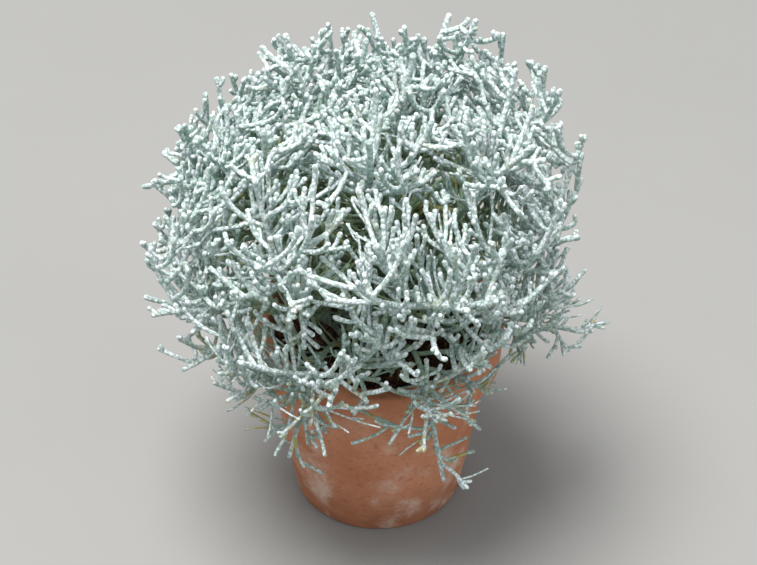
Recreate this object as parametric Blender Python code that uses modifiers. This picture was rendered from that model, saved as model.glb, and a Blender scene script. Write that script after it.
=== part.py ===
"""A cushion bush in a plain clay pot.

Leafy stems stand in holes in the soil and fan out into a rounded cushion of short felted twigs.
Each stem with its branches and twigs is one solid. The origin is at the middle of the pot's foot.
"""

import math
import random
from collections import namedtuple

import bmesh
import bpy
import numpy as np
from mathutils import Matrix, Vector, noise

MM = 0.001
UP = np.array([0.0, 0.0, 1.0])
GOLDEN_ANGLE = math.pi * (3 - math.sqrt(5))

# The pot, from its foot up
POT_HEIGHT = 102 * MM
RIM_RADIUS = 60 * MM
RIM_DEPTH = 22 * MM
RIM_TAPER = 1 * MM
BODY_RADIUS = 57 * MM
FOOT_RADIUS = 42 * MM
WALL = 5 * MM
FLOOR = 8 * MM
DRAIN_RADIUS = 8 * MM
EDGE = 1.6 * MM
TURN_STEPS = 36

# The soil
SOIL_LEVEL = POT_HEIGHT - 11 * MM
SOIL_GAP = 0.3 * MM
SOIL_RINGS = 4
SOIL_EDGE_DROP = 3 * MM
SOIL_LUMP = 1.8 * MM
SOIL_LUMP_WIDTH = 11 * MM

# The outline of the cushion, about its middle
CUSHION_RADIUS = 92 * MM
CUSHION_RISE = 71 * MM
CUSHION_FALL = 84 * MM
CUSHION_SQUARENESS = 2.4
CUSHION_LOBE = 0.035
CUSHION_LUMP = 0.13
CUSHION_LUMPS = 3.3
CUSHION_SKEW = 0.15
MIDDLE = np.array([-8.5 * MM, -4 * MM, SOIL_LEVEL + 75 * MM])

# The main stems, and the low sprigs, each with its azimuth, its reach and its tip's height over the soil
SEED = 11
STEMS = 16
CROWN_RADIUS = 20 * MM
STEM_RADII = (2.1 * MM, 1.45 * MM)
STEM_STEPS = 6
STEM_OVERSHOOT = 9 * MM
ROOTED_DEPTH = 25 * MM
LEAN_DEPTH = 80 * MM
LOWEST_STEM = math.radians(110)
LOWEST_TIP = math.radians(131)
SPRIG_FOOT = 27 * MM
SPRIGS = (
    (math.radians(-118), 86 * MM, -10 * MM),
    (math.radians(-70), 86 * MM, -20 * MM),
    (math.radians(-14), 102 * MM, 22 * MM),
    (math.radians(122), 87 * MM, -6 * MM),
)

# How the shoots of an order grow: how many, their half thickness at root and tip, the length of a
# step in their path, the least, best and greatest angle in degrees from their host, how far under
# the outline they end, their greatest length, and how much of their host's two ends stays bare
Rule = namedtuple("Rule", "order count radii step angles depth longest bare_root bare_tip")
BRANCHES = Rule(1, 132, (1.15 * MM, 1.2 * MM), 18 * MM, (30, 46, 66), (-12 * MM, 6 * MM), 64 * MM, 34 * MM, 8 * MM)
TWIGS = Rule(2, 680, (0.6 * MM, 1.15 * MM), 60 * MM, (28, 47, 70), (-8 * MM, 12 * MM), 28 * MM, 7 * MM, 5 * MM)
ROOT_SPACING = 3.2 * MM
MOST_TRIES = 9
BEND = 0.72
SAG = 0.55
DROP_COST = 1.9

# Shoots that leave their hosts all round: at which shares of the host's length, and how long
SPRIG_BRANCHES = ((0.56, 0.66, 0.75, 0.84, 0.92), (13 * MM, 22 * MM))
SPRIG_TWIGS = ((0.6, 0.8), (5 * MM, 9 * MM))
INNER_BRANCHES = ((0.36, 0.46), (14 * MM, 24 * MM))

# Clearances between shoots
SAMPLE = 1.5 * MM
NEAR_ROOT = 4.5 * MM
CLEAR_OF_OTHERS = 1.5 * MM
CLEAR_OF_OWN = 0.4 * MM
CLEAR_OF_POT = 4 * MM

# The sides of a solid shoot by its order, and how much wider than the round shoot it is drawn
SIDES = (4, 4, 3)
WIDENING = {3: 1.45, 4: 1.2}


def unit(vector):
    return vector / np.linalg.norm(vector)


def outward(azimuth):
    return np.array([math.cos(azimuth), math.sin(azimuth), 0.0])


def cushion_point(polar, azimuth, beyond=0.0):
    """The point of the cushion's lumpy outline in a direction from its middle, higher on its right."""
    out, up = math.sin(polar), math.cos(polar)
    half = CUSHION_RISE if up > 0 else CUSHION_FALL
    power = CUSHION_SQUARENESS
    size = (abs(out / CUSHION_RADIUS) ** power + abs(up / half) ** power) ** (-1 / power)
    direction = out * outward(azimuth) + up * UP
    size *= 1 + CUSHION_LOBE * math.sin(3 * azimuth + 1) * math.sin(2 * polar + 0.5)
    size *= 1 + CUSHION_LUMP * noise.noise(Vector(direction) * CUSHION_LUMPS)
    offset = (size + beyond) * direction
    return MIDDLE + offset + CUSHION_SKEW * offset[0] * UP


def above_pot(point):
    """Whether a point is over the soil and the rim, or well outside the pot."""
    aside = math.hypot(point[0], point[1])
    if aside > RIM_RADIUS + CLEAR_OF_POT:
        return True
    over = POT_HEIGHT if aside > BODY_RADIUS - WALL - CLEAR_OF_POT else SOIL_LEVEL + SOIL_LUMP
    return point[2] > over + CLEAR_OF_POT


class Shoot:
    """One stem, branch or twig, along a smooth curve through the reach of its control points."""

    def __init__(self, stem, order, controls, radii, steps, buried=()):
        self.stem = stem
        self.order = order
        self.controls = controls
        self.radii = radii
        self.buried = buried
        self.path = self.drawn(steps)

    def drawn(self, steps):
        """The path in a number of steps, after the straight end that is buried in the soil, if any."""
        t = np.linspace(0.0, 1.0, steps + 1)[:, None]
        points = [np.tile(control, (steps + 1, 1)) for control in self.controls]
        while len(points) > 1:
            points = [first + (second - first) * t for first, second in zip(points, points[1:])]
        return np.vstack([*self.buried, points[0]])

    def radius_at(self, share):
        return self.radii[0] + (self.radii[1] - self.radii[0]) * share


def sampled(path):
    """Points along a path, with their direction and their distance from its start."""
    steps = np.diff(path, axis=0)
    lengths = np.linalg.norm(steps, axis=1)
    ends = np.concatenate([[0.0], np.cumsum(lengths)])
    along = np.linspace(0.0, ends[-1], max(2, int(ends[-1] / SAMPLE) + 1))
    part = np.clip(np.searchsorted(ends, along, side="right") - 1, 0, len(steps) - 1)
    share = (along - ends[part]) / lengths[part]
    return path[part] + steps[part] * share[:, None], steps[part] / lengths[part][:, None], along


class Thicket:
    """All the shoots so far, with points along them that a new shoot roots on or keeps clear of."""

    def __init__(self):
        self.shoots = []
        self.points = np.zeros((0, 3))
        self.headings = np.zeros((0, 3))
        self.facts = np.zeros((0, 5))

    def add(self, shoot):
        points, headings, along = sampled(shoot.path)
        facts = np.empty((len(along), 5))
        facts[:, 0] = shoot.stem
        facts[:, 1] = shoot.order
        facts[:, 2] = along
        facts[:, 3] = along[-1] - along
        facts[:, 4] = shoot.radius_at(along / along[-1])
        self.points = np.concatenate([self.points, points])
        self.headings = np.concatenate([self.headings, headings])
        self.facts = np.concatenate([self.facts, facts])
        self.shoots.append(shoot)

    def is_clear(self, shoot, of_own=CLEAR_OF_OWN, of_others=CLEAR_OF_OTHERS):
        """Whether a new shoot, but for its root, keeps clear of the others, the pot and the soil."""
        points, _, along = sampled(shoot.path)
        out = along > NEAR_ROOT
        points = points[out] if out.any() else points[-1:]
        if not all(above_pot(point) for point in points):
            return False
        reach = 6 * MM
        near = ((self.points > points.min(0) - reach) & (self.points < points.max(0) + reach)).all(1)
        near = np.flatnonzero(near)
        near = near[np.linalg.norm(self.points[near] - shoot.path[0], axis=1) > NEAR_ROOT]
        if not len(near):
            return True
        gaps = np.linalg.norm(points[:, None] - self.points[near][None], axis=2).min(0)
        spare = np.where(self.facts[near, 0] == shoot.stem, of_own, of_others)
        return bool((gaps > max(shoot.radii) + self.facts[near, 4] + spare).all())

    def hosts(self, target, rule):
        """Rows of the points where a shoot to the target could root, the best first."""
        span = target - self.points
        length = np.linalg.norm(span, axis=1) + 1e-9
        angle = np.arccos(np.clip((span * self.headings).sum(1) / length, -1, 1))
        least, best, greatest = np.radians(rule.angles)
        fits = (self.facts[:, 1] < rule.order) & (angle > least) & (angle < greatest)
        fits &= (self.facts[:, 2] > rule.bare_root) & (self.facts[:, 3] > rule.bare_tip)
        fits &= length < rule.longest
        found = np.flatnonzero(fits)
        rise = span[found, 2] / length[found]
        cost = length[found] * (1 + 3 * (angle[found] - best) ** 2) * (DROP_COST - rise)
        return found[np.argsort(cost, kind="stable")]


def stem_shoot(index, foot, tip, heading, pull):
    """A stem that leans in its hole in the soil, arches out and reaches its tip along a heading."""
    lean = unit(np.array([foot[0], foot[1], LEAN_DEPTH]))
    span = np.linalg.norm(tip - foot)
    controls = (foot, foot + lean * span * pull, tip - unit(heading) * span * 0.3, tip)
    return Shoot(index, 0, controls, STEM_RADII, STEM_STEPS, buried=(foot - lean * ROOTED_DEPTH,))


def side_shoot(stem, root, heading, target, rule):
    """A shoot that leaves its host at a wide angle, and bends towards the host's heading and upwards."""
    span = target - root
    forward = heading * (span @ heading)
    bent = BEND * (span - forward) + (1 - BEND) * forward
    sagging = span * np.array([0.85, 0.85, 0.15] if span[2] > 0 else [0.4, 0.4, 0.75])
    elbow = root + (1 - SAG) * bent + SAG * sagging
    steps = max(1, round(np.linalg.norm(span) / rule.step))
    return Shoot(stem, rule.order, (root, elbow, target), rule.radii, steps)


def spread(count, lowest, turn=0.0):
    """Directions spread evenly over the cushion, from its top down to a lowest angle."""
    for index in range(count):
        share = (index + 0.5) / count
        yield math.acos(1 - share * (1 - math.cos(lowest))), index * GOLDEN_ANGLE + turn


def grow_stems(thicket):
    """The main stems, each to its own part of the cushion, and the low sprigs that hang over the rim."""
    for index, (polar, azimuth) in enumerate(spread(STEMS, LOWEST_STEM)):
        out = outward(azimuth)
        foot = out * CROWN_RADIUS * math.sqrt((index + 0.5) / STEMS) + UP * SOIL_LEVEL
        tip = cushion_point(polar, azimuth, STEM_OVERSHOOT)
        heading = out * math.sin(polar) + UP * (math.cos(polar) + 0.45)
        thicket.add(stem_shoot(index, foot, tip, heading, 0.33))
    for index, (azimuth, reach, height) in enumerate(SPRIGS, STEMS):
        out = outward(azimuth)
        foot = out * SPRIG_FOOT + UP * SOIL_LEVEL
        tip = out * reach + UP * (SOIL_LEVEL + height)
        rise, pull = (0.3, 0.5) if height > 0 else (-1.2, 1.05)
        thicket.add(stem_shoot(index, foot, tip, out + UP * rise, pull))


def grow_to_outline(thicket, rng, rule):
    """Shoots with their tips spread evenly under the cushion's outline, each from its best host."""
    roots = np.full((1, 3), 1.0)
    scatter = 0.86 / math.sqrt(rule.count)
    for polar, azimuth in spread(rule.count, LOWEST_TIP, turn=rule.order * 0.7):
        polar += rng.uniform(-scatter, scatter)
        azimuth += rng.uniform(-scatter, scatter) / max(0.2, math.sin(polar))
        target = cushion_point(polar, azimuth, -rng.uniform(*rule.depth))
        tries = 0
        for row in thicket.hosts(target, rule):
            root = thicket.points[row]
            if np.linalg.norm(roots - root, axis=1).min() < ROOT_SPACING:
                continue
            tries += 1
            if tries > MOST_TRIES:
                break
            shoot = side_shoot(int(thicket.facts[row, 0]), root, thicket.headings[row], target, rule)
            if thicket.is_clear(shoot):
                thicket.add(shoot)
                roots = np.vstack([roots, root])
                break


def grow_aside(thicket, rng, hosts, places, rule):
    """Shoots that leave their hosts all round at a wide angle, wherever there is room for them."""
    shares, lengths = places
    for host in hosts:
        points, headings, along = sampled(host.path)
        turn = rng.uniform(0, 2 * math.pi)
        for share in shares:
            row = int(share * (len(along) - 1))
            turn += GOLDEN_ANGLE
            heading = Vector(headings[row])
            aside = Matrix.Rotation(turn, 3, heading) @ heading.orthogonal().normalized()
            target = points[row] + rng.uniform(*lengths) * np.array(heading * 0.66 + aside * 0.75)
            shoot = side_shoot(host.stem, points[row], headings[row], target, rule)
            if thicket.is_clear(shoot):
                thicket.add(shoot)


def grow_bush():
    """All the stems of the bush with their branches and twigs."""
    rng = random.Random(SEED)
    thicket = Thicket()
    grow_stems(thicket)
    stems = list(thicket.shoots)
    grow_to_outline(thicket, rng, BRANCHES)
    grow_aside(thicket, rng, stems[STEMS:], SPRIG_BRANCHES, BRANCHES)
    grow_aside(thicket, rng, stems[:STEMS], INNER_BRANCHES, BRANCHES)
    grow_to_outline(thicket, rng, TWIGS)
    sprigs = [shoot for shoot in thicket.shoots if shoot.stem >= STEMS and shoot.order < 2]
    grow_aside(thicket, rng, sprigs, SPRIG_TWIGS, TWIGS)
    return thicket


def new_collection(name):
    collection = bpy.data.collections.new(name)
    bpy.context.scene.collection.children.link(collection)
    return collection


def material(name, colour, roughness):
    made = bpy.data.materials.new(name)
    made.use_nodes = True
    shader = made.node_tree.nodes["Principled BSDF"]
    shader.inputs["Base Color"].default_value = (*colour, 1.0)
    shader.inputs["Roughness"].default_value = roughness
    shader.inputs["Metallic"].default_value = 0.0
    return made


def mesh_object(name, mesh, collection):
    obj = bpy.data.objects.new(name, mesh)
    collection.objects.link(obj)
    return obj


def evaluated_mesh(obj, name):
    """An object's mesh with its modifiers applied."""
    depsgraph = bpy.context.evaluated_depsgraph_get()
    mesh = bpy.data.meshes.new_from_object(obj.evaluated_get(depsgraph), depsgraph=depsgraph)
    mesh.name = name
    return mesh


def make_ring(sides, collection):
    """The outline of a tube, as a closed curve of a few straight sides."""
    curve = bpy.data.curves.new("ring", "CURVE")
    corners = curve.splines.new("POLY")
    corners.points.add(sides - 1)
    corners.use_cyclic_u = True
    for index, point in enumerate(corners.points):
        angle = -2 * math.pi * index / sides
        point.co = (math.cos(angle), math.sin(angle), 0.0, 1.0)
    return mesh_object("ring", curve, collection)


def make_tube(shoot, collection):
    """A tapered tube along a stem or a branch: a curve with filled ends, made into a closed mesh."""
    sides = SIDES[shoot.order]
    ring = make_ring(sides, collection)
    curve = bpy.data.curves.new("tube", "CURVE")
    curve.dimensions = "3D"
    curve.bevel_mode = "OBJECT"
    curve.bevel_object = ring
    curve.use_fill_caps = True
    spline = curve.splines.new("POLY")
    spline.points.add(len(shoot.path) - 1)
    for index, point in enumerate(spline.points):
        point.co = (*shoot.path[index], 1.0)
        point.radius = shoot.radius_at(index / (len(shoot.path) - 1)) * WIDENING[sides]
    tube = mesh_object("tube", curve, collection)
    mesh = evaluated_mesh(tube, "tube")
    bm = bmesh.new()
    bm.from_mesh(mesh)
    bmesh.ops.remove_doubles(bm, verts=bm.verts, dist=0.01 * MM)
    bmesh.ops.recalc_face_normals(bm, faces=bm.faces)
    bm.to_mesh(mesh)
    bm.free()
    bpy.data.objects.remove(tube)
    bpy.data.objects.remove(ring)
    return mesh_object("shoot", mesh, collection)


def make_cone(name, low, high, radii, sides, collection):
    """A few-sided cone or cylinder between two points."""
    low, high = Vector(low), Vector(high)
    turn = (high - low).to_track_quat("Z", "Y").to_matrix().to_4x4()
    bm = bmesh.new()
    bmesh.ops.create_cone(
        bm, cap_ends=True, segments=sides, radius1=radii[0], radius2=radii[1],
        depth=(high - low).length, matrix=Matrix.Translation((low + high) / 2) @ turn,
    )
    mesh = bpy.data.meshes.new(name)
    bm.to_mesh(mesh)
    bm.free()
    return mesh_object(name, mesh, collection)


def make_shoot(shoot, collection):
    """A solid shoot: a tube, or a straight twig that widens from its root to its blunt tip."""
    if len(shoot.path) > 2:
        return make_tube(shoot, collection)
    sides = SIDES[shoot.order]
    radii = [radius * WIDENING[sides] for radius in shoot.radii]
    return make_cone("shoot", shoot.path[0], shoot.path[-1], radii, sides, collection)


def make_leafy_stem(name, shoots, collection, finish):
    """One closed solid from a stem and all that grows on it."""
    pieces = new_collection("pieces")
    solids = [make_shoot(shoot, pieces) for shoot in shoots]
    stem = solids[0]
    pieces.objects.unlink(stem)
    collection.objects.link(stem)
    join = stem.modifiers.new("Join", "BOOLEAN")
    join.operation = "UNION"
    join.operand_type = "COLLECTION"
    join.collection = pieces
    join.solver = "MANIFOLD"
    mesh = evaluated_mesh(stem, name)
    for solid in solids:
        bpy.data.objects.remove(solid)
    bpy.data.collections.remove(pieces)
    mesh.materials.clear()
    mesh.materials.append(finish)
    return mesh_object(name, mesh, collection)


def turned_object(name, profile, closed, collection):
    """An outline of (radius, height) points turned about the Z axis."""
    mesh = bpy.data.meshes.new(name)
    points = [(radius, 0.0, height) for radius, height in profile]
    edges = [(index, index + 1) for index in range(len(points) - 1)]
    if closed:
        edges.append((len(points) - 1, 0))
    mesh.from_pydata(points, edges, [])
    obj = mesh_object(name, mesh, collection)
    screw = obj.modifiers.new("Turn", "SCREW")
    screw.axis = "Z"
    screw.angle = 2 * math.pi
    screw.steps = screw.render_steps = TURN_STEPS
    screw.use_merge_vertices = True
    screw.merge_threshold = 0.01 * MM
    return obj


def round_corner(centre, first, last):
    """Three points on a rounded edge, between two angles in degrees."""
    for share in (0.0, 0.5, 1.0):
        angle = math.radians(first + (last - first) * share)
        yield centre[0] + EDGE * math.cos(angle), centre[1] + EDGE * math.sin(angle)


def body_radius(height):
    """The outer radius of the pot's tapered body at a height."""
    return FOOT_RADIUS + (BODY_RADIUS - FOOT_RADIUS) * height / POT_HEIGHT


def make_pot(collection, finish):
    """The clay pot: a tapered body with a thick rim band and one drain hole."""
    top, under = POT_HEIGHT, POT_HEIGHT - RIM_DEPTH
    profile = [
        *round_corner((body_radius(top) - WALL + EDGE, top - EDGE), 180, 90),
        *round_corner((RIM_RADIUS - EDGE, top - EDGE), 90, 0),
        (RIM_RADIUS - RIM_TAPER, under),
        (body_radius(under), under),
        (body_radius(EDGE), EDGE),
        (FOOT_RADIUS - EDGE, 0.0),
        (DRAIN_RADIUS, 0.0),
        (DRAIN_RADIUS, FLOOR),
        (body_radius(FLOOR) - WALL, FLOOR),
    ]
    pot = turned_object("pot", profile, True, collection)
    pot.data.materials.append(finish)


def soil_lift(x, y):
    """How far the soil's lumpy surface stands over its level, from noise."""
    return SOIL_LUMP * noise.fractal(Vector((x, y, 0.0)) / SOIL_LUMP_WIDTH, 0.6, 2.0, 3)


def make_soil(stems, collection, finish):
    """The soil: it fills the pot, with a lumpy surface and a plain hole for each stem."""
    base = FLOOR + SOIL_GAP
    edge_level = SOIL_LEVEL - SOIL_EDGE_DROP
    edge = body_radius(edge_level) - WALL - SOIL_GAP
    shares = [index / SOIL_RINGS for index in range(SOIL_RINGS + 1)]
    profile = [(edge * share, SOIL_LEVEL - SOIL_EDGE_DROP * share**3) for share in shares]
    profile += [(body_radius(base) - WALL - SOIL_GAP, base), (0.0, base)]
    blank = turned_object("soil", profile, False, collection)
    mesh = evaluated_mesh(blank, "soil")
    bpy.data.objects.remove(blank)
    for vertex in mesh.vertices:
        if vertex.co.z > edge_level and math.hypot(vertex.co.x, vertex.co.y) < edge - MM:
            vertex.co.z += soil_lift(vertex.co.x, vertex.co.y)
    soil = mesh_object("soil", mesh, collection)
    soil.data.materials.append(finish)

    holes = new_collection("holes")
    hole_sides = 6
    radius = (STEM_RADII[0] * WIDENING[SIDES[0]] + SOIL_GAP) / math.cos(math.pi / hole_sides)
    for stem in stems:
        bottom, foot = stem.path[:2]
        lean = unit(foot - bottom)
        low, high = bottom - lean * SOIL_GAP, foot + lean * 3 * SOIL_LUMP
        hole = make_cone("hole", low, high, (radius, radius), hole_sides, holes)
        hole.display_type = "WIRE"
        hole.hide_render = True
    drill = soil.modifiers.new("Holes", "BOOLEAN")
    drill.operation = "DIFFERENCE"
    drill.operand_type = "COLLECTION"
    drill.collection = holes


def main():
    for obj in list(bpy.data.objects):
        bpy.data.objects.remove(obj)
    collection = new_collection("potted cushion bush")
    clay = material("fired clay", (0.52, 0.22, 0.12), 0.8)
    earth = material("soil", (0.07, 0.035, 0.022), 0.95)
    felt = material("white felt", (0.62, 0.68, 0.64), 0.9)

    shoots = grow_bush().shoots
    stems = [shoot for shoot in shoots if shoot.order == 0]
    make_pot(collection, clay)
    make_soil(stems, collection, earth)
    for stem in stems:
        own = [shoot for shoot in shoots if shoot.stem == stem.stem]
        make_leafy_stem(f"leafy_stem_{stem.stem + 1:02d}", own, collection, felt)


if __name__ == "__main__":
    main()
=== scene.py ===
"""The looks of a cushion bush in a clay pot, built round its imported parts.

The stems, branches and twigs repeat the growth rule of the solid parts, so they stand where the
solids stand. Finer side twigs and stubs then grow on them, each clear of the others.
"""

import math
import random
from collections import namedtuple

import bmesh
import bpy
import numpy as np
from bpy.props import FloatProperty, FloatVectorProperty, IntProperty, PointerProperty
from mathutils import Matrix, Vector, noise
from mathutils.kdtree import KDTree


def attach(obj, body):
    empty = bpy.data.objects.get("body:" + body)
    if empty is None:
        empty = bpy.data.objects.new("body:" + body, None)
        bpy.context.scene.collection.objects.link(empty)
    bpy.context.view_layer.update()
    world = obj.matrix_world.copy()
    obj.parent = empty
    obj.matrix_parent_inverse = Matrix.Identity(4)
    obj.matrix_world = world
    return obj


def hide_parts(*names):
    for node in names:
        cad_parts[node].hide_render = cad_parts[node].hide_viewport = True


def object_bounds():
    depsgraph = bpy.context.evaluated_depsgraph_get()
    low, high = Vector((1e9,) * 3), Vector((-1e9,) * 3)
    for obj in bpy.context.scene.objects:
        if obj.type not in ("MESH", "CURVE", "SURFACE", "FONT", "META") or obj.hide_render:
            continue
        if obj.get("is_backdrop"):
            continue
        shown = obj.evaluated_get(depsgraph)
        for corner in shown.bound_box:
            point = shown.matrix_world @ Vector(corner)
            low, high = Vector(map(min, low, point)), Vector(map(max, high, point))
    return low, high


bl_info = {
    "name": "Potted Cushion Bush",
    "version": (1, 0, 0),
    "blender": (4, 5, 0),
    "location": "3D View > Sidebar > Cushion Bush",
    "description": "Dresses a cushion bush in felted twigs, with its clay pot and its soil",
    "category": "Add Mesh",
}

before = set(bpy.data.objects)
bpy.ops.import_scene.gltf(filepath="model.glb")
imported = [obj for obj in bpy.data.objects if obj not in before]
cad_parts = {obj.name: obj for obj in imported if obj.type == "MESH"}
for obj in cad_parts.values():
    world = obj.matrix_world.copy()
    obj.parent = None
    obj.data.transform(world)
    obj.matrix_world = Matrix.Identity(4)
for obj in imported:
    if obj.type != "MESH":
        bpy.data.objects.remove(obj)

CAD_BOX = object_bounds()

MM = 0.001
DOUBLES = 0.002 * MM
UP = np.array([0.0, 0.0, 1.0])
GOLDEN_ANGLE = math.pi * (3 - math.sqrt(5))

# The pot, from its foot up
POT_HEIGHT = 102 * MM
RIM_RADIUS = 60 * MM
RIM_DEPTH = 22 * MM
RIM_TAPER = 1 * MM
BODY_RADIUS = 57 * MM
FOOT_RADIUS = 42 * MM
WALL = 5 * MM
FLOOR = 8 * MM
DRAIN_RADIUS = 8 * MM
EDGE = 1.6 * MM

# The soil
SOIL_LEVEL = POT_HEIGHT - 11 * MM
SOIL_GAP = 0.3 * MM
SOIL_EDGE_DROP = 3 * MM
SOIL_LUMP = 1.8 * MM
SOIL_LUMP_WIDTH = 11 * MM

# The outline of the cushion, about its middle
CUSHION_RADIUS = 92 * MM
CUSHION_RISE = 71 * MM
CUSHION_FALL = 84 * MM
CUSHION_SQUARENESS = 2.4
CUSHION_LOBE = 0.035
CUSHION_LUMP = 0.13
CUSHION_LUMPS = 3.3
CUSHION_SKEW = 0.15
MIDDLE = np.array([-8.5 * MM, -4 * MM, SOIL_LEVEL + 75 * MM])

# The main stems, and the low sprigs, each with its azimuth, its reach and its tip's height over the soil
SEED = 11
STEMS = 16
CROWN_RADIUS = 20 * MM
STEM_RADII = (2.1 * MM, 1.45 * MM)
STEM_STEPS = 6
STEM_OVERSHOOT = 9 * MM
ROOTED_DEPTH = 25 * MM
LEAN_DEPTH = 80 * MM
LOWEST_STEM = math.radians(110)
LOWEST_TIP = math.radians(131)
SPRIG_FOOT = 27 * MM
SPRIGS = (
    (math.radians(-118), 86 * MM, -10 * MM),
    (math.radians(-70), 86 * MM, -20 * MM),
    (math.radians(-14), 102 * MM, 22 * MM),
    (math.radians(122), 87 * MM, -6 * MM),
)

# How the shoots of an order grow: how many, their half thickness at root and tip, the length of a
# step in their path, the least, best and greatest angle in degrees from their host, how far under
# the outline they end, their greatest length, and how much of their host's two ends stays bare
Rule = namedtuple("Rule", "order count radii step angles depth longest bare_root bare_tip")
BRANCHES = Rule(
    1, 132, (1.15 * MM, 1.2 * MM), 18 * MM, (30, 46, 66), (-12 * MM, 6 * MM), 64 * MM, 34 * MM, 8 * MM
)
TWIGS = Rule(
    2, 680, (0.6 * MM, 1.15 * MM), 60 * MM, (28, 47, 70), (-8 * MM, 12 * MM), 28 * MM, 7 * MM, 5 * MM
)
ROOT_SPACING = 3.2 * MM
MOST_TRIES = 9
BEND = 0.72
SAG = 0.55
DROP_COST = 1.9

# Shoots that leave their hosts all round: at which shares of the host's length, and how long
SPRIG_BRANCHES = ((0.56, 0.66, 0.75, 0.84, 0.92), (13 * MM, 22 * MM))
SPRIG_TWIGS = ((0.6, 0.8), (5 * MM, 9 * MM))
INNER_BRANCHES = ((0.36, 0.46), (14 * MM, 24 * MM))

# Clearances between shoots
SAMPLE = 1.5 * MM
NEAR_ROOT = 4.5 * MM
CLEAR_OF_OTHERS = 1.5 * MM
CLEAR_OF_OWN = 0.4 * MM
CLEAR_OF_POT = 4 * MM

# How the finer shoots grow all round their hosts: from which and to which share of the length of a
# host of each order, their spacing along it, their lengths, the least and greatest angle in degrees
# from it, their half thickness at root and tip, the length of a step in their path, how near they
# may come to other shoots, how much of their root may touch them, and how far out they may end
Fine = namedtuple("Fine", "order hosts spacing lengths angles radii step spare near highest")
ARMS = Fine(
    3, {0: (0.34, 0.93), 1: (0.12, 0.86), 2: (0.15, 0.8)}, 4.8 * MM, (12 * MM, 38 * MM), (46, 84),
    (0.92 * MM, 1.08 * MM), 2.5 * MM, 0.2 * MM, 3.0 * MM, (0.76, 0.99),
)
INNER_TWIGS = Fine(
    4, {0: (0.12, 0.85), 1: (0.06, 0.8), 2: (0.1, 0.5)}, 2.8 * MM, (12 * MM, 30 * MM), (42, 85),
    (0.75 * MM, 0.6 * MM), 3 * MM, 0.05 * MM, 2.4 * MM, (0.62, 0.93),
)
TIP_BUDS = Fine(
    5, {0: (0.94, 0.98), 1: (0.84, 0.94), 2: (0.74, 0.9), 3: (0.7, 0.88)}, 2.2 * MM, (3.6 * MM, 6 * MM),
    (46, 66), (0.98 * MM, 1.14 * MM), 2 * MM, 0.0, 2.3 * MM, (1.05, 1.22),
)
STUBS = Fine(
    5, {0: (0.7, 0.92), 1: (0.4, 0.84), 2: (0.3, 0.74), 3: (0.25, 0.7)}, 7.5 * MM, (5 * MM, 12 * MM),
    (52, 76), (0.9 * MM, 1.05 * MM), 2 * MM, 0.1 * MM, 2.3 * MM, (0.9, 1.12),
)
INNER_STUBS = Fine(
    6, {4: (0.2, 0.9)}, 7.5 * MM, (5 * MM, 12 * MM), (40, 75), (0.58 * MM, 0.5 * MM), 3 * MM, 0.05 * MM,
    1.6 * MM, (0.6, 0.93),
)
WIDEST_SHOOT = 2.1 * MM
ROOT_SPARE = 0.6 * MM

# How a place on a host is tried: with which shares of the shoot's length and in how many directions,
# how much chance there is in which direction comes first, how far a shoot may end past its host's
# tip, in least lengths, and how uneven the spacing is
TRIES = ((1.0, 4), (0.62, 2))
CHANCE = 0.45
PAST_HOST = 0.8
UNEVEN_SPACING = (0.8, 1.25)

# How much a fine shoot lifts itself at the top of the bush, how welcome one is there that rises, by
# how much its angle narrows for each order of its host, how bare the sprigs and the lowest hosts
# stay, under which height, and how far out the sprigs reach
LIFT = 0.5
RISE_BONUS = 0.6
NARROWING = 0.12
SPRIG_BARENESS = 0.7
LOW_BARENESS = 0.9
BARE_BELOW = SOIL_LEVEL + 74 * MM
SPRIG_REACH = 106 * MM

# The half thickness of the round shoots at root and tip by order, how far apart their rings are by
# order, and the orders that have only four faces round
ROUND_RADII = {0: (2.0 * MM, 1.42 * MM), 1: (1.4 * MM, 1.24 * MM), 2: (1.12 * MM, 1.2 * MM)}
RING_SPACING = (1.5 * MM, 1.45 * MM, 1.4 * MM, 1.4 * MM, 2.6 * MM, 1.4 * MM, 3.0 * MM)
THIN_ORDERS = (4, 6)

# How slim the sprigs and the lowest shoots are, the heights between which shoots grow thick and
# knuckled, how much of a knuckle there is at the root, and how uneven the half thickness is
SPRIG_SLIMNESS = 0.92
LOW_SLIMNESS = 0.78
YOUNG_HEIGHTS = (SOIL_LEVEL + 14 * MM, SOIL_LEVEL + 62 * MM), (0.0, 1.0)
ROOT_KNUCKLE = 0.3
UNEVENNESS = 0.05

# The rounded tip: its length in half thicknesses, and the angles of its last rings in degrees
BLUNTNESS = 0.65
TIP_ANGLES = (48, 80)

# The bends and the finer wobble that all shoots share
KINK_WIDTH = 8 * MM
KINK = 0.5 * MM
WOBBLE_WIDTH = 3 * MM
WOBBLE = 0.12 * MM

# The relief of the pot and of the soil, and the form of the crumbs
POT_WAVE_WIDTH = 24 * MM
GRAIN_WIDTH = 3.2 * MM
PIT_WIDTH = 2.6 * MM
SMALLEST_CRUMB = 0.5 * MM
ROUNDER_CRUMB = 1.5 * MM
CRUMB_RARITY = 3.5
ROOT_STEP = 1.5 * MM

# The studio: the floor's radius, each light's width and place, and the height that the camera aims at
FLOOR_RADIUS = 5.0
KEY_LIGHT = 1.5, (-0.48, -0.18, 2.71)
FILL_LIGHT = 1.6, (1.4, -0.9, 0.8)
AIM_HEIGHT = 122 * MM


def unit(vector):
    return vector / np.linalg.norm(vector)


def outward(azimuth):
    return np.array([math.cos(azimuth), math.sin(azimuth), 0.0])


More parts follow.
